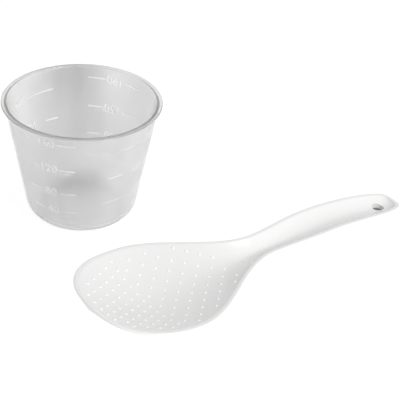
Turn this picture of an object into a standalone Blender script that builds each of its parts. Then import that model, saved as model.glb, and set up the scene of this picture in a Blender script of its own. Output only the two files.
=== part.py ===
"""Rice cooker accessory set: a tapered measuring cup and a rice paddle lying beside it.

Frame: metres, +Z up, the origin at the middle of the cup's base, on the table that both pieces rest on.
The paddle lies in front of the cup, with its handle running off to the right and back.
"""

import math

import bmesh
import bpy
import numpy as np
from mathutils import Matrix, Vector

MM = 0.001

# Measuring cup, in millimetres.
CUP_HEIGHT = 65.0
CUP_RIM_RADIUS = 40.8
CUP_RIM_THICKNESS = 0.9
CUP_RIM_FILLET = 0.4
CUP_MOUTH_RADIUS = 39.1  # outer wall, produced to the top
CUP_BASE_RADIUS = 27.7  # outer wall, produced to the table
CUP_CORNER_RADIUS = 10.2
CUP_WALL = 1.2
CUP_BASE = 1.5
CUP_STEPS = 72
GATE_RADIUS = 1.9  # mark left by the moulding gate, in the middle of the cup's floor
GATE_PROUD = 0.35

# Graduations: ribs standing proud of the inside of the wall. Azimuths are from the front, in degrees.
# A level is its label: (height above the table, its ticks' spans, azimuth of the label's middle).
MAIN_TICKS = (-53.0, -38.0), (-19.0, -5.0)
MAIN_SCALE = {
    "160": (59.0, MAIN_TICKS, -28.5),
    "120": (43.2, MAIN_TICKS, -28.5),
    "80": (28.0, MAIN_TICKS, -28.5),
    "40": (15.9, MAIN_TICKS, -28.5),
}
SIDE_SCALE = {
    "3/4": (53.8, ((26.0, 56.0),), 67.0),
    "1/2": (37.5, ((23.0, 36.0), (64.0, 76.0)), 54.0),
    "1/4": (21.5, ((21.0, 50.0),), 61.0),
}
TICK_RADIUS = 0.45
TICK_PROUD = 0.3
NUMERAL_SIZE = 6.6
NUMERAL_PROUD = 0.3
NUMERAL_SUNK = 0.6

# Rice paddle, in millimetres. Its own X runs along the axis from the blade's tip to the handle's end, and
# its own Z is up from the table. A knot is (x, value, slope).
PADDLE_LENGTH = 199.0
PADDLE_TIP = Vector((3.4, -103.0, 0.0))
PADDLE_ANGLE = math.radians(32.4)
TIP_LENGTH, TIP_POWER = 39.5, 2.4
END_LENGTH, END_POWER = 60.5, 4.1
WIDTH_KNOTS = (39.5, 35.8, 0.0), (73.0, 21.7, -0.64), (104.0, 9.3, 0.0), (138.5, 11.5, 0.0)
RIM_KNOTS = (
    (0.0, 14.6, -0.19),
    (14.0, 12.5, -0.115),
    (42.0, 9.8, -0.045),
    (80.0, 9.65, 0.005),
    (105.0, 10.1, 0.02),
    (144.0, 10.8, -0.025),
    (168.0, 8.6, -0.13),
    (199.0, 4.0, -0.12),
)
FLOOR_KNOTS = (
    (0.0, 13.6, -0.48),
    (42.0, 1.9, 0.0),
    (80.0, 4.7, 0.06),
    (102.0, 5.05, 0.04),
    (146.0, 6.9, 0.0),
    (187.0, 2.2, -0.1),
)
THICKNESS_KNOTS = (0.0, 1.5, 0.0), (42.0, 1.8, 0.0), (187.0, 2.0, 0.0)
HANDLE_KNOTS = (60.0, 0.0, 0.0), (110.0, 1.0, 0.0)  # 0 on the blade, 1 on the handle
LIP = 2.1  # flat rim round the bowl and the trough
EDGE = 1.2  # height of the outer edge, under the rim
END_WALL = 5.0  # length over which the trough and the bowl reach their depth
BOWL_POWER = 1.85

# Where the paddle's surface is sampled: shares of its length, close together at the two rounded ends,
# and shares of the half width over the top and underneath.
TIP_SHARE, TIP_STEPS = 0.17, 12
END_SHARE, END_STEPS = 0.2, 10
MIDDLE_STEPS = 22
TOP_SHARES = (-0.9, -0.75, -0.55, -0.35, -0.15, 0.15, 0.35, 0.55, 0.75, 0.9)
UNDER_SHARES = (1.0, 0.96, 0.87, 0.72, 0.5, 0.25, 0.0, -0.25, -0.5, -0.72, -0.87, -0.96, -1.0)

HANG_HOLE_RADIUS = 3.4
HANG_HOLE_FROM_END = 11.8
HANG_HOLE_CUT = 30.0  # length of the cutter, more than the handle's height

# Bumps that keep rice from sticking: two staggered grids, a wide one by the neck and a close one at the tip.
BUMP_RADIUS = 1.1
BUMP_HALF_HEIGHT = 0.8
BUMP_PROUD = 0.3
BUMP_MARGIN = 3.7
WIDE_GRID = {"first": 78.6, "pitch": -4.71, "rows": 10, "middle": -1.3, "across": 4.83}
CLOSE_GRID = {"first": 31.8, "pitch": -5.2, "rows": 6, "middle": 1.6, "across": 2.79}


def clear_scene():
    for thing in list(bpy.data.objects):
        bpy.data.objects.remove(thing)


def new_collection(name):
    collection = bpy.data.collections.new(name)
    bpy.context.scene.collection.children.link(collection)
    return collection


def new_object(name, mesh, collection):
    thing = bpy.data.objects.new(name, mesh)
    collection.objects.link(thing)
    return thing


def mesh_from_bmesh(name, shape):
    mesh = bpy.data.meshes.new(name)
    shape.to_mesh(mesh)
    shape.free()
    return mesh


def plastic(name, colour, roughness, alpha):
    material = bpy.data.materials.new(name)
    material.use_nodes = True
    shader = material.node_tree.nodes["Principled BSDF"]
    shader.inputs["Base Color"].default_value = (*colour, 1.0)
    shader.inputs["Roughness"].default_value = roughness
    shader.inputs["Metallic"].default_value = 0.0
    shader.inputs["Alpha"].default_value = alpha
    return material


def smooth(knots, x):
    """A cubic curve through knots of (x, value, slope), read at x."""
    if x <= knots[0][0]:
        return knots[0][1]
    for (x0, y0, slope0), (x1, y1, slope1) in zip(knots, knots[1:]):
        if x <= x1:
            run = x1 - x0
            t = (x - x0) / run
            ease = t * t * (3.0 - 2.0 * t)
            leave = t * (1.0 - t) ** 2 * run * slope0
            arrive = t * t * (t - 1.0) * run * slope1
            return y0 + (y1 - y0) * ease + leave + arrive
    return knots[-1][1]


def rounded_end(distance, length, width, power):
    """Half width of a rounded end, at a distance from its very end."""
    inward = min(max(distance, 0.0), length)
    return width * (1.0 - ((length - inward) / length) ** power) ** (1.0 / power)


def join(thing, others, name):
    modifier = thing.modifiers.new(name, "BOOLEAN")
    modifier.operation = "UNION"
    modifier.operand_type = "OBJECT"
    modifier.object = others


def cut(thing, cutter, name):
    modifier = thing.modifiers.new(name, "BOOLEAN")
    modifier.operation = "DIFFERENCE"
    modifier.object = cutter


def hide(cutter):
    cutter.hide_render = True
    cutter.display_type = "WIRE"


# ---------------------------------------------------------------- measuring cup


def cup_slope():
    return (CUP_MOUTH_RADIUS - CUP_BASE_RADIUS) / CUP_HEIGHT


def cup_inner_radius(height):
    """Radius of the inside of the wall above the rounded corner."""
    outer = CUP_BASE_RADIUS + cup_slope() * height
    return outer - CUP_WALL / math.cos(math.atan(cup_slope()))


def corner_arc(wall_radius, floor, corner, points):
    """Points of the rounded corner between a floor and a wall that leans out, from the floor up."""
    lean = math.atan(cup_slope())
    centre_z = floor + corner
    centre_r = wall_radius + cup_slope() * centre_z - corner / math.cos(lean)
    arc = []
    for step in range(points + 1):
        angle = -math.pi / 2.0 + (math.pi / 2.0 - lean) * step / points
        arc.append((centre_r + corner * math.cos(angle), centre_z + corner * math.sin(angle)))
    return arc


def rim_profile():
    """The flange, from the inside of the wall over the top to the outside of the wall."""
    bead = CUP_RIM_THICKNESS / 2.0
    bead_z = CUP_HEIGHT - bead
    inside = cup_inner_radius(CUP_HEIGHT) + bead
    outside = CUP_RIM_RADIUS - bead
    rim = []
    for angle in np.linspace(math.pi, math.pi / 2.0, 3):
        rim.append((inside + bead * math.cos(angle), bead_z + bead * math.sin(angle)))
    for angle in np.linspace(math.pi / 2.0, -math.pi / 2.0, 5):
        rim.append((outside + bead * math.cos(angle), bead_z + bead * math.sin(angle)))
    under = CUP_HEIGHT - CUP_RIM_THICKNESS
    rim.append((CUP_BASE_RADIUS + cup_slope() * under + CUP_RIM_FILLET, under))
    rim.append((CUP_BASE_RADIUS + cup_slope() * (under - CUP_RIM_FILLET), under - CUP_RIM_FILLET))
    return rim


def gate_profile():
    """A low dome in the middle of the cup's floor, from its top down."""
    angles = np.linspace(0.0, math.pi / 2.0, 3)
    return [(GATE_RADIUS * math.sin(a), CUP_BASE + GATE_PROUD * math.cos(a)) for a in angles]


def cup_profile():
    lean_offset = CUP_WALL / math.cos(math.atan(cup_slope()))
    inner_corner = corner_arc(CUP_BASE_RADIUS - lean_offset, CUP_BASE, CUP_CORNER_RADIUS - CUP_WALL, 5)
    outer_corner = corner_arc(CUP_BASE_RADIUS, 0.0, CUP_CORNER_RADIUS, 6)
    return gate_profile() + inner_corner + rim_profile() + outer_corner[::-1] + [(0.0, 0.0)]


def make_cup(collection):
    mesh = bpy.data.meshes.new("measuring_cup")
    points = [(r * MM, 0.0, z * MM) for r, z in cup_profile()]
    edges = [(i, i + 1) for i in range(len(points) - 1)]
    mesh.from_pydata(points, edges, [])
    cup = new_object("measuring_cup", mesh, collection)
    screw = cup.modifiers.new("turn", "SCREW")
    screw.steps = CUP_STEPS
    screw.render_steps = CUP_STEPS
    screw.use_merge_vertices = True
    screw.merge_threshold = 0.00001
    screw.use_smooth_shade = True
    mesh.materials.append(plastic("frosted polypropylene", (0.80, 0.82, 0.83), 0.45, 0.45))
    return cup


def wall_point(azimuth, height, inset):
    """A point inside the cup, inset from its wall; the azimuth is from the front, in degrees."""
    turn = math.radians(azimuth - 90.0)
    radius = cup_inner_radius(height) - inset
    return Vector((radius * math.cos(turn), radius * math.sin(turn), height)) * MM


def as_mesh_object(thing, collection):
    """The evaluated shape of a curve or a text as a mesh object, caps welded; the original is removed."""
    view = bpy.context.evaluated_depsgraph_get()
    view.update()
    mesh = bpy.data.meshes.new_from_object(thing.evaluated_get(view))
    shape = bmesh.new()
    shape.from_mesh(mesh)
    bmesh.ops.remove_doubles(shape, verts=shape.verts, dist=0.000001)
    bmesh.ops.recalc_face_normals(shape, faces=shape.faces)
    shape.to_mesh(mesh)
    shape.free()
    result = new_object(thing.name + "_mesh", mesh, collection)
    result.matrix_world = thing.matrix_world
    bpy.data.objects.remove(thing)
    return result


def make_tick(span, height, turn, collection):
    curve = bpy.data.curves.new("tick", "CURVE")
    curve.dimensions = "3D"
    curve.bevel_depth = TICK_RADIUS * MM
    curve.bevel_resolution = 1
    curve.use_fill_caps = True
    count = 2 + round((span[1] - span[0]) / 6.0)
    azimuths = np.linspace(span[0], span[1], count) + turn
    spline = curve.splines.new("POLY")
    spline.points.add(count - 1)
    for point, azimuth in zip(spline.points, azimuths):
        point.co = (*wall_point(azimuth, height, TICK_PROUD - TICK_RADIUS), 1.0)
    return as_mesh_object(new_object("tick", curve, collection), collection)


def make_numeral(words, height, azimuth, collection):
    """A label lying on the inside of the wall, upright and readable from outside, through the wall."""
    text = bpy.data.curves.new("numeral", "FONT")
    text.body = words
    text.align_x = "CENTER"
    text.align_y = "CENTER"
    text.size = NUMERAL_SIZE * MM
    text.extrude = (NUMERAL_PROUD + NUMERAL_SUNK) * 0.5 * MM
    text.resolution_u = 1
    numeral = as_mesh_object(new_object("numeral", text, collection), collection)
    middle = (NUMERAL_PROUD - NUMERAL_SUNK) * 0.5
    for vertex in numeral.data.vertices:
        across, up, out = vertex.co / MM
        level = height + up
        sideways = math.degrees(across / cup_inner_radius(height))
        vertex.co = wall_point(azimuth + sideways, level, middle - out)
    shape = bmesh.new()
    shape.from_mesh(numeral.data)
    bmesh.ops.recalc_face_normals(shape, faces=shape.faces)
    shape.to_mesh(numeral.data)
    shape.free()
    return numeral


def make_scale(levels, cutters):
    """One scale, made twice: the second is on the opposite side of the cup."""
    ribs = []
    for turn in (0.0, 180.0):
        for words, (height, ticks, azimuth) in levels.items():
            for span in ticks:
                ribs.append(make_tick(span, height, turn, cutters))
            ribs.append(make_numeral(words, height, azimuth + turn, cutters))
    return ribs


def merge_objects(things, name, collection):
    """Many meshes, none touching another, as one object."""
    shape = bmesh.new()
    for thing in things:
        shape.from_mesh(thing.data)
        bpy.data.objects.remove(thing)
    return new_object(name, mesh_from_bmesh(name, shape), collection)


def add_graduations(cup, cutters):
    ribs = make_scale(MAIN_SCALE, cutters) + make_scale(SIDE_SCALE, cutters)
    graduations = merge_objects(ribs, "graduations", cutters)
    hide(graduations)
    join(cup, graduations, "graduations")


# ---------------------------------------------------------------- rice paddle


def half_width(x, inset):
    """Half width of the outline at x, inset from the edge all round."""
    tip_length = TIP_LENGTH - inset
    end_length = END_LENGTH - inset
    if x < TIP_LENGTH:
        return rounded_end(x - inset, tip_length, WIDTH_KNOTS[0][1] - inset, TIP_POWER)
    if x > PADDLE_LENGTH - END_LENGTH:
        width = WIDTH_KNOTS[-1][1] - inset
        return rounded_end(PADDLE_LENGTH - inset - x, end_length, width, END_POWER)
    return smooth(WIDTH_KNOTS, x) - inset


def floor_height(x):
    """Height of the bowl and the trough on the axis, rising to the rim at both ends."""
    rim = smooth(RIM_KNOTS, x)
    from_end = min(x - LIP, PADDLE_LENGTH - LIP - x)
    depth = (rim - smooth(FLOOR_KNOTS, x)) * rounded_end(from_end, END_WALL, 1.0, 2.0)
    return rim - depth


def top_height(x, y):
    """Height of the upper surface inside the rim."""
    width = max(half_width(x, LIP), 0.001)
    floor = floor_height(x)
    return floor + (smooth(RIM_KNOTS, x) - floor) * min(abs(y) / width, 1.0) ** BOWL_POWER


def under_height(x, share):
    """Height of the underside, at a share of the half width: a dish under the blade, a U for the handle."""
    top = smooth(RIM_KNOTS, x) - EDGE
    keel = smooth(FLOOR_KNOTS, x) - smooth(THICKNESS_KNOTS, x)
    dish = share**BOWL_POWER
    channel = 1.0 - math.sqrt(max(1.0 - share * share, 0.0))
    handle = smooth(HANDLE_KNOTS, x)
    return keel + (top - keel) * (handle * channel + (1.0 - handle) * dish)


def section(along):
    """One ring round the paddle at a share of its length: over the top, then back underneath."""
    outer_x = along * PADDLE_LENGTH
    inner_x = LIP + along * (PADDLE_LENGTH - 2.0 * LIP)
    inner = half_width(inner_x, LIP)
    outer = half_width(outer_x, 0.0)
    inner_rim = smooth(RIM_KNOTS, inner_x)
    outer_rim = smooth(RIM_KNOTS, outer_x)
    ring = [(outer_x, -outer, outer_rim), (inner_x, -inner, inner_rim)]
    for share in TOP_SHARES:
        ring.append((inner_x, share * inner, top_height(inner_x, share * inner)))
    ring += [(inner_x, inner, inner_rim), (outer_x, outer, outer_rim)]
    for share in UNDER_SHARES:
        ring.append((outer_x, share * outer, under_height(outer_x, abs(share))))
    return [Vector(point) * MM for point in ring]


def stations():
    """Shares of the length, close together at both rounded ends."""
    tip_turns = np.linspace(0.0, math.pi / 2.0, TIP_STEPS, endpoint=False)
    end_turns = np.linspace(0.0, math.pi / 2.0, END_STEPS, endpoint=False)
    tip = [TIP_SHARE * (1.0 - math.cos(turn)) for turn in tip_turns]
    end = [1.0 - END_SHARE * (1.0 - math.cos(turn)) for turn in end_turns[::-1]]
    return tip + list(np.linspace(TIP_SHARE, 1.0 - END_SHARE, MIDDLE_STEPS)) + end


def make_paddle_body(collection):
    shape = bmesh.new()
    rings = [[shape.verts.new(point) for point in section(along)] for along in stations()]
    for here, there in zip(rings, rings[1:]):
        for i in range(len(here)):
            j = (i + 1) % len(here)
            shape.faces.new((here[i], here[j], there[j], there[i]))
    bmesh.ops.remove_doubles(shape, verts=shape.verts, dist=0.000001)
    bmesh.ops.dissolve_degenerate(shape, edges=shape.edges, dist=0.000001)
    bmesh.ops.recalc_face_normals(shape, faces=shape.faces)
    paddle = new_object("rice_paddle", mesh_from_bmesh("rice_paddle", shape), collection)
    paddle.data.materials.append(plastic("white polypropylene", (0.86, 0.86, 0.86), 0.22, 1.0))
    return paddle


def grid_points(grid):
    """Places of a staggered grid of bumps, clear of the rim."""
    for row in range(grid["rows"]):
        x = grid["first"] + grid["pitch"] * row
        for column in range(-16, 17):
            y = grid["middle"] + grid["across"] * column
            if (row + column) % 2 == 0 and abs(y) < half_width(x, BUMP_MARGIN):
                yield x, y


def make_bumps(cutters):
    shape = bmesh.new()
    places = list(grid_points(WIDE_GRID)) + list(grid_points(CLOSE_GRID))
    for x, y in places:
        centre = Vector((x, y, top_height(x, y) + BUMP_PROUD - BUMP_HALF_HEIGHT)) * MM
        place = Matrix.Translation(centre) @ Matrix.Diagonal((1.0, 1.0, BUMP_HALF_HEIGHT / BUMP_RADIUS, 1.0))
        bmesh.ops.create_uvsphere(
            shape, u_segments=8, v_segments=4, radius=BUMP_RADIUS * MM, matrix=place
        )
    bumps = new_object("bumps", mesh_from_bmesh("bumps", shape), cutters)
    hide(bumps)
    return bumps


def make_hang_hole(cutters):
    shape = bmesh.new()
    place = Vector((PADDLE_LENGTH - HANG_HOLE_FROM_END, 0.0, 0.0)) * MM
    bmesh.ops.create_cone(
        shape,
        cap_ends=True,
        segments=32,
        radius1=HANG_HOLE_RADIUS * MM,
        radius2=HANG_HOLE_RADIUS * MM,
        depth=HANG_HOLE_CUT * MM,
        matrix=Matrix.Translation(place),
    )
    hole = new_object("hang_hole", mesh_from_bmesh("hang_hole", shape), cutters)
    hide(hole)
    return hole


def make_paddle(collection, cutters):
    paddle = make_paddle_body(collection)
    bumps = make_bumps(cutters)
    hole = make_hang_hole(cutters)
    for thing in (paddle, bumps, hole):
        thing.location = PADDLE_TIP * MM
        thing.rotation_euler = (0.0, 0.0, PADDLE_ANGLE)
    join(paddle, bumps, "bumps")
    cut(paddle, hole, "hang hole")
    paddle.data.shade_smooth()
    paddle.data.set_sharp_from_angle(angle=math.radians(40.0))
    return paddle


def main():
    clear_scene()
    parts = new_collection("rice_cooker_accessory_set")
    cutters = new_collection("cutters")
    cup = make_cup(parts)
    add_graduations(cup, cutters)
    make_paddle(parts, cutters)


main()
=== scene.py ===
"""The looks of a rice cooker's accessory set: a frosted measuring cup and a glossy white rice paddle."""

import math

import bmesh
import bpy
import numpy as np
from mathutils import Matrix, Vector


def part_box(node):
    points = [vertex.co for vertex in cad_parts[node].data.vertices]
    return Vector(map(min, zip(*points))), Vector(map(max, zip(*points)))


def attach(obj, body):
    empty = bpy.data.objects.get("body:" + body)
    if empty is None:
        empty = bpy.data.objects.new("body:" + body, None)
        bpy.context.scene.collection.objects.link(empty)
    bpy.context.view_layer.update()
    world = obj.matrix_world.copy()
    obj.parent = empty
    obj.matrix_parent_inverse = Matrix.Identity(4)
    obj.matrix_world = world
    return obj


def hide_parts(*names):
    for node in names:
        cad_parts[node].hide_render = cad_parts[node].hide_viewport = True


MM = 0.001

# Measuring cup, in millimetres. Its height and its rim come from the CAD node's box.
CUP_WALL = 1.2
CUP_BASE = 1.5
CUP_CORNER_RADIUS = 10.2
CUP_MOUTH_RADIUS = 39.1
CUP_BASE_RADIUS = 27.7
CUP_RIM_THICKNESS = 0.9
CUP_RIM_FILLET = 0.4
CUP_STEPS = 160
CUP_WALL_TOP = 2.0  # the wall's evenly spaced rings end this far under the rim
CUP_WALL_RINGS = 14
CUP_INNER_CORNER_POINTS, CUP_OUTER_CORNER_POINTS = 14, 16
GATE_RADIUS = 1.9  # mark left by the moulding gate, in the middle of the floor
GATE_PROUD = 0.35

# Graduations, standing proud of the inside of the wall. Azimuths are from the front, in degrees.
# A level is its label: (height above the table, its ticks' spans, azimuth of the label's middle).
MAIN_TICKS = (-53.0, -38.0), (-19.0, -5.0)
MAIN_SCALE = {
    "160": (59.0, MAIN_TICKS, -28.5),
    "120": (43.2, MAIN_TICKS, -28.5),
    "80": (28.0, MAIN_TICKS, -28.5),
    "40": (15.9, MAIN_TICKS, -28.5),
}
SIDE_SCALE = {
    "3/4": (53.8, ((26.0, 56.0),), 67.0),
    "1/2": (37.5, ((23.0, 36.0), (64.0, 76.0)), 54.0),
    "1/4": (21.5, ((21.0, 50.0),), 61.0),
}
TICK_RADIUS = 0.45
TICK_PROUD = 0.3
NUMERAL_SIZE = 6.6
NUMERAL_PROUD = 0.3
NUMERAL_SUNK = 0.6

# Rice paddle, in millimetres. Its own X runs from the blade's tip to the handle's end.
# A knot is (x, value, slope).
PADDLE_LENGTH = 199.0
PADDLE_TIP = Vector((3.4, -103.0, 0.0))
PADDLE_ANGLE = math.radians(32.4)
TIP_LENGTH, TIP_POWER = 39.5, 2.4
END_LENGTH, END_POWER = 60.5, 4.1
WIDTH_KNOTS = (39.5, 35.8, 0.0), (73.0, 21.7, -0.64), (104.0, 9.3, 0.0), (138.5, 11.5, 0.0)
RIM_KNOTS = (
    (0.0, 14.6, -0.19),
    (14.0, 12.5, -0.115),
    (42.0, 9.8, -0.045),
    (80.0, 9.65, 0.005),
    (105.0, 10.1, 0.02),
    (144.0, 10.8, -0.025),
    (168.0, 8.6, -0.13),
    (199.0, 4.0, -0.12),
)
FLOOR_KNOTS = (
    (0.0, 13.6, -0.48),
    (42.0, 1.9, 0.0),
    (80.0, 4.7, 0.06),
    (102.0, 5.05, 0.04),
    (146.0, 6.9, 0.0),
    (187.0, 2.2, -0.1),
)
THICKNESS_KNOTS = (0.0, 1.5, 0.0), (42.0, 1.8, 0.0), (187.0, 2.0, 0.0)
HANDLE_KNOTS = (60.0, 0.0, 0.0), (110.0, 1.0, 0.0)  # 0 on the blade, 1 on the handle
LIP = 2.1  # flat rim round the bowl and the trough
LIP_ROUND, LIP_DROP = 0.25, 0.12  # its inner edge: how far it is rounded, and by how much it drops
EDGE = 1.2  # height of the outer edge, under the rim
EDGE_ROUND = 0.45
END_WALL = 5.0  # length over which the trough and the bowl reach their depth
BOWL_POWER = 1.85
HANG_HOLE_RADIUS = 3.4
HANG_HOLE_FROM_END = 11.8
HANG_HOLE_CUT = 30.0  # length of the cutter, more than the handle's height

# Where the paddle's surface is sampled: shares of its length, close together at the two rounded ends, and
# the number of columns over the top and underneath.
TIP_SHARE, END_SHARE = 0.17, 0.2
END_STEPS, MIDDLE_STEPS = 40, 120
COLUMNS = 49

# Bumps that keep rice from sticking: a wide staggered grid by the neck and a close one at the tip.
BUMP_RADIUS = 1.1
BUMP_HALF_HEIGHT = 0.8
BUMP_PROUD = 0.3
BUMP_MARGIN = 3.7
WIDE_GRID = {"first": 78.6, "pitch": -4.71, "rows": 10, "middle": -1.3, "across": 4.83}
CLOSE_GRID = {"first": 31.8, "pitch": -5.2, "rows": 6, "middle": 1.6, "across": 2.79}

# Camera, in metres and degrees.
CAMERA_PLACE = (0.0, -0.5166, 0.3439)
CAMERA_TURN = 7.02  # to the right of straight ahead
CAMERA_DIP = 33.08
CAMERA_ROLL = 4.2
CAMERA_LENS = 103.5
CAMERA_SENSOR = 36.0

# Plastics.
PLASTIC_IOR = 1.49
CUP_TRANSMISSION, CUP_ROUGHNESS = 0.8, 0.12
STROKE_TRANSMISSION, STROKE_GLOW = 0.7, 0.12
STREAK_SCALE, STREAK_SQUEEZE = 90.0, 0.1
GRAIN_SCALE = 140.0

# Light.
WORLD_STRENGTH = 0.606
KEY_PLACE, KEY_AIM = (0.75, -0.75, 0.8), (0.06, -0.02, 0.02)
KEY_SIZE, KEY_POWER = (0.5, 0.6), 8.9

# Floor: its glow seen directly, with a painted shadow in the hang hole, and its glow seen through the cup, with
# the cup's painted shadows. Places and reaches are in metres.
FLOOR_SIZE = 4.0
FLOOR_GLOW = 0.88
HOLE_SHADOW_GLOW = 0.0
HOLE_OPENNESS_REACH = 0.008
HOLE_OPENNESS = 0.7, 0.95  # openness at which the painted shadow in the hole is darkest, and at which it is as bright as the floor
HOLE_SHADOW_RADII = 0.003, 0.0045
THROUGH_GLOW = 0.75
SHADOW_MIDDLE = -0.008  # X of the cup's soft shadow, which runs off to the back
SHADOW_HALF_WIDTHS = 0.008, 0.03
SHADOW_RUN = -0.02, 0.15  # Y where it starts and where it is deepest
SHADOW_DEPTH = 0.62
CONTACT_PLACE = (-0.002, 0.023, 0.0)  # the dark patch under the rounded corner, at the back
CONTACT_REACH = 0.003, 0.02
CONTACT_DEPTH = 0.95
BASE_REACH = 0.014, 0.028  # radii over which the floor under the base brightens
BASE_DEPTH = 0.48


# ---------------------------------------------------------------- shapes


def link(thing):
    bpy.context.scene.collection.objects.link(thing)
    return thing


def object_from(name, shape):
    mesh = bpy.data.meshes.new(name)
    shape.to_mesh(mesh)
    shape.free()
    return link(bpy.data.objects.new(name, mesh))


def smooth(knots, x):
    """A cubic curve through knots of (x, value, slope), read at x."""
    if x <= knots[0][0]:
        return knots[0][1]
    for (x0, y0, slope0), (x1, y1, slope1) in zip(knots, knots[1:]):
        if x <= x1:
            run = x1 - x0
            t = (x - x0) / run
            ease = t * t * (3.0 - 2.0 * t)
            leave = t * (1.0 - t) ** 2 * run * slope0
            arrive = t * t * (t - 1.0) * run * slope1
            return y0 + (y1 - y0) * ease + leave + arrive
    return knots[-1][1]


def rounded_end(distance, length, width, power):
    """Half width of a rounded end, at a distance from its very end."""
    inward = min(max(distance, 0.0), length)
    return width * (1.0 - ((length - inward) / length) ** power) ** (1.0 / power)


def apply_boolean(thing, other, operation):
    modifier = thing.modifiers.new("cut", "BOOLEAN")
    modifier.operation = operation
    modifier.material_mode = "TRANSFER"
    modifier.object = other
    view = bpy.context.evaluated_depsgraph_get()
    view.update()
    mesh = bpy.data.meshes.new_from_object(thing.evaluated_get(view))
    thing.modifiers.clear()
    thing.data = mesh
    bpy.data.objects.remove(other)


def shade_smooth(thing, degrees):
    """Smooth shading, sharp at steep edges and all round where another material begins."""
    thing.data.shade_smooth()
    thing.data.set_sharp_from_angle(angle=math.radians(degrees))
    shape = bmesh.new()
    shape.from_mesh(thing.data)
    for edge in shape.edges:
        if len({face.material_index for face in edge.link_faces}) > 1:
            edge.smooth = False
    shape.to_mesh(thing.data)
    shape.free()


# ---------------------------------------------------------------- materials


def new_material(name):
    material = bpy.data.materials.new(name)
    material.use_nodes = True
    return material, material.node_tree, material.node_tree.nodes["Principled BSDF"]


def new_plastic(name):
    material, tree, shader = new_material(name)
    shader.inputs["IOR"].default_value = PLASTIC_IOR
    return material, tree, shader


def noise(tree, scale):
    """Soft noise in the object's own coordinates, in metres."""
    node = tree.nodes.new("ShaderNodeTexNoise")
    node.inputs["Scale"].default_value = scale
    node.inputs["Detail"].default_value = 2.0
    node.inputs["Roughness"].default_value = 0.5
    tree.links.new(object_coordinates(tree), node.inputs["Vector"])
    return node.outputs["Fac"]


def object_coordinates(tree):
    return tree.nodes.new("ShaderNodeTexCoord").outputs["Object"]


def ranged(tree, value, low, high, start=0.3, end=0.7):
    node = tree.nodes.new("ShaderNodeMapRange")
    node.inputs["From Min"].default_value = start
    node.inputs["From Max"].default_value = end
    node.inputs["To Min"].default_value = low
    node.inputs["To Max"].default_value = high
    tree.links.new(value, node.inputs["Value"])
    return node.outputs["Result"]


def flow_streaks(tree, low, high):
    """Faint upright streaks, left where the plastic flowed up the wall from the gate."""
    squeeze = tree.nodes.new("ShaderNodeMapping")
    squeeze.inputs["Scale"].default_value = (1.0, 1.0, STREAK_SQUEEZE)
    tree.links.new(object_coordinates(tree), squeeze.inputs["Vector"])
    streaks = noise(tree, STREAK_SCALE)
    tree.links.new(squeeze.outputs["Vector"], streaks.node.inputs["Vector"])
    return ranged(tree, streaks, low, high)


def frosted_plastic():
    material, tree, shader = new_plastic("frosted_pp")
    shader.inputs["Transmission Weight"].default_value = CUP_TRANSMISSION
    shader.inputs["Roughness"].default_value = CUP_ROUGHNESS
    tree.links.new(flow_streaks(tree, 0.9, 0.96), shader.inputs["Base Color"])
    return material


def raised_plastic():
    """The ribs and numerals of the graduations. Their base colour, whiter than the wall's, and a faint glow are
    painted light, standing for the light that they scatter.
    """
    material, tree, shader = new_plastic("frosted_pp_raised")
    shader.inputs["Transmission Weight"].default_value = STROKE_TRANSMISSION
    shader.inputs["Roughness"].default_value = CUP_ROUGHNESS
    # Painted light: a faint constant glow on the graduations.
    shader.inputs["Emission Color"].default_value = (1.0, 1.0, 1.0, 1.0)
    shader.inputs["Emission Strength"].default_value = STROKE_GLOW
    tree.links.new(flow_streaks(tree, 0.96, 1.0), shader.inputs["Base Color"])
    return material


def white_plastic():
    material, tree, shader = new_plastic("white_pp")
    shader.inputs["Base Color"].default_value = (0.86, 0.86, 0.855, 1.0)
    tree.links.new(ranged(tree, noise(tree, GRAIN_SCALE), 0.16, 0.24), shader.inputs["Roughness"])
    return material


def highlighted_bump_plastic():
    """The blade's bumps, painted brighter than the blade round them: a painted highlight for the light that
    they catch.
    """
    material, tree, shader = new_plastic("white_pp_bumps_painted_highlight")
    shader.inputs["Roughness"].default_value = 0.25
    # Painted highlight: a paler base colour than the blade's 0.86.
    tree.links.new(ranged(tree, noise(tree, GRAIN_SCALE), 0.93, 0.97), shader.inputs["Base Color"])
    return material


def floor_material():
    """A pale sweep: burnt out to white where seen directly, with a painted shadow in the hang hole; grey, with
    the cup's painted shadows, where seen through the cup.
    """
    material, tree, shader = new_material("pale_floor")
    shader.inputs["Base Color"].default_value = (0.2, 0.2, 0.2, 1.0)
    shader.inputs["Roughness"].default_value = 1.0
    shader.inputs["Specular IOR Level"].default_value = 0.0
    shader.inputs["Emission Color"].default_value = (1.0, 1.0, 1.0, 1.0)
    # Painted shadow: the floor goes dark round the hang hole's foot while the paddle lies close over it.
    close = ranged(tree, openness(tree, HOLE_OPENNESS_REACH), 1.0, 0.0, *HOLE_OPENNESS)
    hole = arithmetic(tree, "MULTIPLY", close, near_point(tree, hang_hole_place(), *HOLE_SHADOW_RADII))
    direct = mixed(tree, hole, FLOOR_GLOW, HOLE_SHADOW_GLOW)
    through = arithmetic(tree, "MULTIPLY", cup_shadow(tree), contact_shadow(tree))
    tree.links.new(mixed(tree, seen_through_cup(tree), direct, through), shader.inputs["Emission Strength"])
    return material


def cup_shadow(tree):
    """The glow of the floor behind the cup, darker along a soft strip."""
    side = arithmetic(tree, "ABSOLUTE", arithmetic(tree, "SUBTRACT", coordinate(tree, "X"), SHADOW_MIDDLE))
    strip = ranged(tree, side, 1.0, 0.0, *SHADOW_HALF_WIDTHS)
    depth = ranged(tree, coordinate(tree, "Y"), 0.0, SHADOW_DEPTH, *SHADOW_RUN)
    shadow = arithmetic(tree, "MULTIPLY", strip, depth)
    return ranged(tree, shadow, THROUGH_GLOW, 0.0, 0.0, 1.0)


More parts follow.
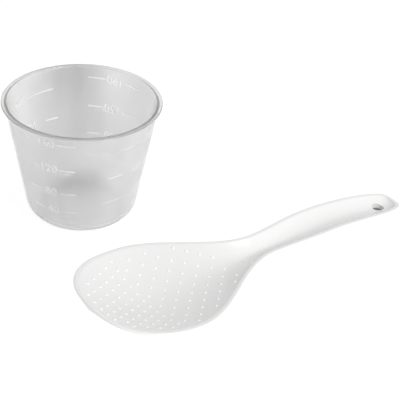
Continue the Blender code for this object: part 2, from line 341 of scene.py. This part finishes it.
def contact_shadow(tree):
    """1 in the open, less under the cup's base and least under its corner, at the back."""
    base = ranged(tree, near_point(tree, (0.0, 0.0, 0.0), *BASE_REACH), 1.0, 1.0 - BASE_DEPTH, 0.0, 1.0)
    patch = ranged(tree, near_point(tree, CONTACT_PLACE, *CONTACT_REACH), 1.0, 1.0 - CONTACT_DEPTH, 0.0, 1.0)
    return arithmetic(tree, "MULTIPLY", base, patch)


def seen_through_cup(tree):
    """1 for what the camera sees through the cup, 0 for the light that the cup gathers from the floor."""
    path = tree.nodes.new("ShaderNodeLightPath")
    gathered = ranged(tree, path.outputs["Diffuse Depth"], 1.0, 0.0, 0.0, 1.0)
    return arithmetic(tree, "MULTIPLY", path.outputs["Is Transmission Ray"], gathered)


def openness(tree, reach):
    """1 in the open, falling where something stands within reach, in metres."""
    node = tree.nodes.new("ShaderNodeAmbientOcclusion")
    node.samples = 16
    node.inputs["Distance"].default_value = reach
    return node.outputs["AO"]


def coordinate(tree, axis):
    split = tree.nodes.new("ShaderNodeSeparateXYZ")
    tree.links.new(object_coordinates(tree), split.inputs["Vector"])
    return split.outputs[axis]


def arithmetic(tree, operation, *values):
    node = tree.nodes.new("ShaderNodeMath")
    node.operation = operation
    for socket, value in zip(node.inputs, values):
        feed(tree, value, socket)
    return node.outputs["Value"]


def mixed(tree, factor, low, high):
    node = tree.nodes.new("ShaderNodeMix")
    feed(tree, factor, node.inputs["Factor"])
    feed(tree, low, node.inputs["A"])
    feed(tree, high, node.inputs["B"])
    return node.outputs["Result"]


def feed(tree, value, socket):
    if isinstance(value, float):
        socket.default_value = value
    else:
        tree.links.new(value, socket)


def near_point(tree, place, near, far):
    """1 within a distance of a point, 0 beyond another."""
    distance = tree.nodes.new("ShaderNodeVectorMath")
    distance.operation = "DISTANCE"
    distance.inputs[1].default_value = place
    tree.links.new(object_coordinates(tree), distance.inputs[0])
    return ranged(tree, distance.outputs["Value"], 1.0, 0.0, near, far)


# ---------------------------------------------------------------- measuring cup


class Cup:
    """The cup's outline, from the CAD node's own height and rim and the wall's driving sizes."""

    def __init__(self, low, high):
        self.height = (high.z - low.z) / MM
        self.rim_radius = (high.x - low.x) / 2.0 / MM
        self.slope = (CUP_MOUTH_RADIUS - CUP_BASE_RADIUS) / self.height
        self.lean = math.atan(self.slope)
        self.wall_across = CUP_WALL / math.cos(self.lean)

    def outer(self, height):
        return CUP_BASE_RADIUS + self.slope * height

    def inner(self, height):
        return self.outer(height) - self.wall_across

    def corner(self, wall_radius, floor, radius, points):
        """The rounded corner between a floor and the leaning wall, from the floor up."""
        centre_z = floor + radius
        centre_r = wall_radius + self.slope * centre_z - radius / math.cos(self.lean)
        arc = []
        for angle in np.linspace(-math.pi / 2.0, -self.lean, points):
            arc.append((centre_r + radius * math.cos(angle), centre_z + radius * math.sin(angle)))
        return arc

    def rim(self):
        bead = CUP_RIM_THICKNESS / 2.0
        bead_z = self.height - bead
        inside = self.inner(self.height) + bead
        outside = self.rim_radius - bead
        rim = []
        for angle in np.linspace(math.pi, math.pi / 2.0, 6):
            rim.append((inside + bead * math.cos(angle), bead_z + bead * math.sin(angle)))
        for angle in np.linspace(math.pi / 2.0, -math.pi / 2.0, 11):
            rim.append((outside + bead * math.cos(angle), bead_z + bead * math.sin(angle)))
        under = self.height - CUP_RIM_THICKNESS
        fillet_r = self.outer(under) + CUP_RIM_FILLET
        fillet_z = under - CUP_RIM_FILLET
        for angle in np.linspace(math.pi / 2.0, math.pi - self.lean, 5):
            across, up = CUP_RIM_FILLET * math.cos(angle), CUP_RIM_FILLET * math.sin(angle)
            rim.append((fillet_r + across, fillet_z + up))
        return rim

    def profile(self):
        inner_radius, inner_corner = CUP_BASE_RADIUS - self.wall_across, CUP_CORNER_RADIUS - CUP_WALL
        inner = self.corner(inner_radius, CUP_BASE, inner_corner, CUP_INNER_CORNER_POINTS)
        outer = self.corner(CUP_BASE_RADIUS, 0.0, CUP_CORNER_RADIUS, CUP_OUTER_CORNER_POINTS)
        top = self.height - CUP_WALL_TOP
        wall = [(self.inner(z), z) for z in np.linspace(inner[-1][1], top, CUP_WALL_RINGS)[1:]]
        skin = [(self.outer(z), z) for z in np.linspace(top, outer[-1][1], CUP_WALL_RINGS)[:-1]]
        return self.gate() + inner + wall + self.rim() + skin + outer[::-1] + [(0.0, 0.0)]

    def gate(self):
        """The mark left by the moulding gate, a low dome in the middle of the floor."""
        angles = np.linspace(0.0, math.pi / 2.0, 6)
        return [(GATE_RADIUS * math.sin(a), CUP_BASE + GATE_PROUD * math.cos(a)) for a in angles]

    def wall_point(self, azimuth, height, inset):
        """A point inside the cup, inset from its wall; the azimuth is from the front, in degrees."""
        turn = math.radians(azimuth - 90.0)
        radius = self.inner(height) - inset
        return Vector((radius * math.cos(turn), radius * math.sin(turn), height)) * MM


def turned(name, profile, steps):
    """A closed turned shape. The profile starts and ends on the axis."""
    shape = bmesh.new()
    low = shape.verts.new((0.0, 0.0, profile[0][1] * MM))
    high = shape.verts.new((0.0, 0.0, profile[-1][1] * MM))
    turns = [2.0 * math.pi * step / steps for step in range(steps)]
    rings = []
    for radius, height in profile[1:-1]:
        points = [Vector((radius * math.cos(turn), radius * math.sin(turn), height)) * MM for turn in turns]
        rings.append([shape.verts.new(point) for point in points])
    for i in range(steps):
        j = (i + 1) % steps
        shape.faces.new((low, rings[0][i], rings[0][j]))
        for here, there in zip(rings, rings[1:]):
            shape.faces.new((here[i], there[i], there[j], here[j]))
        shape.faces.new((rings[-1][i], high, rings[-1][j]))
    bmesh.ops.remove_doubles(shape, verts=shape.verts, dist=0.0000001)
    bmesh.ops.recalc_face_normals(shape, faces=shape.faces)
    return object_from(name, shape)


def shape_of(thing):
    """The evaluated shape of a curve or a text, caps welded; the object is removed."""
    view = bpy.context.evaluated_depsgraph_get()
    view.update()
    mesh = bpy.data.meshes.new_from_object(thing.evaluated_get(view))
    shape = bmesh.new()
    shape.from_mesh(mesh)
    bmesh.ops.remove_doubles(shape, verts=shape.verts, dist=0.000001)
    bpy.data.objects.remove(thing)
    return shape


def tick_shape(cup, span, height, turn):
    curve = bpy.data.curves.new("tick", "CURVE")
    curve.dimensions = "3D"
    curve.bevel_depth = TICK_RADIUS * MM
    curve.bevel_resolution = 4
    curve.use_fill_caps = True
    azimuths = np.linspace(span[0], span[1], 2 + round(span[1] - span[0])) + turn
    spline = curve.splines.new("POLY")
    spline.points.add(len(azimuths) - 1)
    for point, azimuth in zip(spline.points, azimuths):
        point.co = (*cup.wall_point(azimuth, height, TICK_PROUD - TICK_RADIUS), 1.0)
    return shape_of(link(bpy.data.objects.new("tick", curve)))


def numeral_shape(cup, words, height, azimuth):
    text = bpy.data.curves.new("numeral", "FONT")
    text.body = words
    text.align_x = "CENTER"
    text.align_y = "CENTER"
    text.size = NUMERAL_SIZE * MM
    text.extrude = (NUMERAL_PROUD + NUMERAL_SUNK) * 0.5 * MM
    text.resolution_u = 5
    shape = shape_of(link(bpy.data.objects.new("numeral", text)))
    middle = (NUMERAL_PROUD - NUMERAL_SUNK) * 0.5
    for vertex in shape.verts:
        across, up, out = vertex.co / MM
        level = height + up
        sideways = math.degrees(across / cup.inner(height))
        vertex.co = cup.wall_point(azimuth + sideways, level, middle - out)
    return shape


def scale_shapes(cup, levels):
    shapes = []
    for turn in (0.0, 180.0):
        for words, (height, ticks, azimuth) in levels.items():
            shapes += [tick_shape(cup, span, height, turn) for span in ticks]
            shapes.append(numeral_shape(cup, words, height, azimuth + turn))
    return shapes


def together(name, shapes):
    whole = bmesh.new()
    for shape in shapes:
        mesh = bpy.data.meshes.new("piece")
        bmesh.ops.recalc_face_normals(shape, faces=shape.faces)
        shape.to_mesh(mesh)
        shape.free()
        whole.from_mesh(mesh)
        bpy.data.meshes.remove(mesh)
    return object_from(name, whole)


def make_cup(material, raised_material):
    cup = Cup(*[Vector(corner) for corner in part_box("measuring_cup")])
    thing = turned("frosted_cup", cup.profile(), CUP_STEPS)
    thing.data.materials.append(material)
    graduations = together("graduations", scale_shapes(cup, MAIN_SCALE) + scale_shapes(cup, SIDE_SCALE))
    graduations.data.materials.append(raised_material)
    apply_boolean(thing, graduations, "UNION")
    shade_smooth(thing, 35.0)
    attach(thing, "cup")
    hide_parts("measuring_cup")


# ---------------------------------------------------------------- rice paddle


def half_width(x, inset):
    """Half width of the outline at x, inset from the edge all round."""
    if x < TIP_LENGTH:
        return rounded_end(x - inset, TIP_LENGTH - inset, WIDTH_KNOTS[0][1] - inset, TIP_POWER)
    if x > PADDLE_LENGTH - END_LENGTH:
        width = WIDTH_KNOTS[-1][1] - inset
        return rounded_end(PADDLE_LENGTH - inset - x, END_LENGTH - inset, width, END_POWER)
    return smooth(WIDTH_KNOTS, x) - inset


def floor_height(x):
    """Height of the bowl and the trough on the axis, rising to the rim at both ends."""
    rim = smooth(RIM_KNOTS, x)
    from_end = min(x - LIP, PADDLE_LENGTH - LIP - x)
    depth = (rim - smooth(FLOOR_KNOTS, x)) * rounded_end(from_end, END_WALL, 1.0, 2.0)
    return rim - depth


def top_height(x, y):
    """Height of the upper surface inside the rim."""
    width = max(half_width(x, LIP), 0.001)
    floor = floor_height(x)
    return floor + (smooth(RIM_KNOTS, x) - floor) * min(abs(y) / width, 1.0) ** BOWL_POWER


def under_height(x, share):
    """Height of the underside: a dish under the blade, a U under the handle."""
    top = smooth(RIM_KNOTS, x) - EDGE
    keel = smooth(FLOOR_KNOTS, x) - smooth(THICKNESS_KNOTS, x)
    dish = share**BOWL_POWER
    channel = 1.0 - math.sqrt(max(1.0 - share * share, 0.0))
    handle = smooth(HANDLE_KNOTS, x)
    return keel + (top - keel) * (handle * channel + (1.0 - handle) * dish)


def rim_columns():
    """(inset, drop below the rim) from the lip's inside edge out and down over the rounded outer edge."""
    columns = [(LIP, LIP_DROP), (LIP - LIP_ROUND, 0.0), (EDGE_ROUND, 0.0)]
    for angle in np.linspace(0.0, math.pi / 2.0, 5)[1:]:
        inset = EDGE_ROUND * (1.0 - math.sin(angle))
        columns.append((inset, EDGE_ROUND * (1.0 - math.cos(angle))))
    return columns


def section(along, bowl_shares, under_shares):
    """One ring round the paddle at a share of its length: over the top, then back underneath."""

    def at(inset):
        return inset + along * (PADDLE_LENGTH - 2.0 * inset)

    ring = []
    for side in (-1.0, 1.0):
        edge = []
        for inset, drop in rim_columns():
            x = at(inset)
            edge.append((x, side * half_width(x, inset), smooth(RIM_KNOTS, x) - drop))
        if side < 0.0:
            ring += edge[::-1]
            for share in bowl_shares:
                x = at(LIP)
                y = share * half_width(x, LIP)
                ring.append((x, y, min(top_height(x, y), smooth(RIM_KNOTS, x) - LIP_DROP)))
        else:
            ring += edge
    for share in under_shares:
        x = at(0.0)
        ring.append((x, share * half_width(x, 0.0), under_height(x, abs(share))))
    return [Vector(point) * MM for point in ring]


def stations():
    """Shares of the length, close together at both rounded ends."""
    turns = np.linspace(0.0, math.pi / 2.0, END_STEPS, endpoint=False)
    tip = [TIP_SHARE * (1.0 - math.cos(turn)) for turn in turns]
    end = [1.0 - END_SHARE * (1.0 - math.cos(turn)) for turn in turns[::-1]]
    return tip + list(np.linspace(TIP_SHARE, 1.0 - END_SHARE, MIDDLE_STEPS)) + end


def make_paddle_body():
    bowl_shares = [math.sin(a) for a in np.linspace(-math.pi / 2.0, math.pi / 2.0, COLUMNS)[1:-1]]
    under_shares = [math.cos(a) for a in np.linspace(0.0, math.pi, COLUMNS)]
    shape = bmesh.new()
    rings = []
    for along in stations():
        rings.append([shape.verts.new(point) for point in section(along, bowl_shares, under_shares)])
    for here, there in zip(rings, rings[1:]):
        for i in range(len(here)):
            j = (i + 1) % len(here)
            shape.faces.new((here[i], here[j], there[j], there[i]))
    bmesh.ops.remove_doubles(shape, verts=shape.verts, dist=0.000001)
    bmesh.ops.dissolve_degenerate(shape, edges=shape.edges, dist=0.000001)
    # The last rings shrink almost to a line, and leave slits there that have to be closed.
    bmesh.ops.holes_fill(shape, edges=shape.edges)
    bmesh.ops.recalc_face_normals(shape, faces=shape.faces)
    return object_from("white_paddle", shape)


def grid_points(grid):
    """Places of a staggered grid of bumps, clear of the rim."""
    for row in range(grid["rows"]):
        x = grid["first"] + grid["pitch"] * row
        for column in range(-16, 17):
            y = grid["middle"] + grid["across"] * column
            if (row + column) % 2 == 0 and abs(y) < half_width(x, BUMP_MARGIN):
                yield x, y


def make_bumps(material):
    shape = bmesh.new()
    for x, y in list(grid_points(WIDE_GRID)) + list(grid_points(CLOSE_GRID)):
        centre = Vector((x, y, top_height(x, y) + BUMP_PROUD - BUMP_HALF_HEIGHT)) * MM
        place = Matrix.Translation(centre) @ Matrix.Diagonal((1.0, 1.0, BUMP_HALF_HEIGHT / BUMP_RADIUS, 1.0))
        bmesh.ops.create_uvsphere(
            shape, u_segments=16, v_segments=12, radius=BUMP_RADIUS * MM, matrix=place
        )
    bumps = object_from("bumps", shape)
    bumps.data.materials.append(material)
    return bumps


def hang_hole_place():
    """The foot of the hang hole's axis, on the table."""
    along = Vector((PADDLE_LENGTH - HANG_HOLE_FROM_END, 0.0, 0.0))
    return (PADDLE_TIP + Matrix.Rotation(PADDLE_ANGLE, 3, "Z") @ along) * MM


def make_hang_hole():
    shape = bmesh.new()
    place = Vector((PADDLE_LENGTH - HANG_HOLE_FROM_END, 0.0, 0.0)) * MM
    bmesh.ops.create_cone(
        shape,
        cap_ends=True,
        segments=64,
        radius1=HANG_HOLE_RADIUS * MM,
        radius2=HANG_HOLE_RADIUS * MM,
        depth=HANG_HOLE_CUT * MM,
        matrix=Matrix.Translation(place),
    )
    return object_from("hang_hole", shape)


def make_paddle(material, painted_highlight_bump_material):
    paddle = make_paddle_body()
    paddle.data.materials.append(material)
    apply_boolean(paddle, make_bumps(painted_highlight_bump_material), "UNION")
    apply_boolean(paddle, make_hang_hole(), "DIFFERENCE")
    paddle.data.transform(Matrix.Translation(PADDLE_TIP * MM) @ Matrix.Rotation(PADDLE_ANGLE, 4, "Z"))
    shade_smooth(paddle, 30.0)
    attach(paddle, "paddle")
    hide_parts("rice_paddle")


# ---------------------------------------------------------------- stage


def make_floor():
    shape = bmesh.new()
    bmesh.ops.create_grid(shape, x_segments=1, y_segments=1, size=FLOOR_SIZE)
    floor = object_from("floor", shape)
    floor.data.materials.append(floor_material())


def make_camera():
    data = bpy.data.cameras.new("camera")
    data.lens = CAMERA_LENS
    data.sensor_width = CAMERA_SENSOR
    data.clip_start = 0.01
    data.clip_end = 20.0
    camera = link(bpy.data.objects.new("camera", data))
    turn = Matrix.Rotation(math.radians(-CAMERA_TURN), 4, "Z")
    dip = Matrix.Rotation(math.radians(90.0 - CAMERA_DIP), 4, "X")
    roll = Matrix.Rotation(math.radians(CAMERA_ROLL), 4, "Z")
    camera.matrix_world = Matrix.Translation(CAMERA_PLACE) @ turn @ dip @ roll
    bpy.context.scene.camera = camera


def area_light(name, place, aim, size, power):
    data = bpy.data.lights.new(name, "AREA")
    data.shape = "RECTANGLE"
    data.size, data.size_y = size
    data.energy = power
    light = link(bpy.data.objects.new(name, data))
    light.location = place
    light.rotation_euler = (Vector(aim) - Vector(place)).to_track_quat("-Z", "Y").to_euler()


def make_world():
    world = bpy.data.worlds.new("studio")
    world.use_nodes = True
    background = world.node_tree.nodes["Background"]
    background.inputs["Color"].default_value = (1.0, 1.0, 1.0, 1.0)
    background.inputs["Strength"].default_value = WORLD_STRENGTH
    bpy.context.scene.world = world


def make_stage():
    make_floor()
    make_camera()
    make_world()
    area_light("key", KEY_PLACE, KEY_AIM, KEY_SIZE, KEY_POWER)
    bpy.context.scene.view_settings.view_transform = "Standard"


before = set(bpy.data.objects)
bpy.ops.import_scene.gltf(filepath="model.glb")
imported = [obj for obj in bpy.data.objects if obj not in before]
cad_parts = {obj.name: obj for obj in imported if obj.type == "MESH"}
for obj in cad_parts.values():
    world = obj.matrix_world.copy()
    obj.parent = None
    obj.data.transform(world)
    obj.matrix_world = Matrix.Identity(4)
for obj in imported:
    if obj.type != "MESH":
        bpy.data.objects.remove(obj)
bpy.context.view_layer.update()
make_stage()
make_cup(frosted_plastic(), raised_plastic())
make_paddle(white_plastic(), highlighted_bump_plastic())
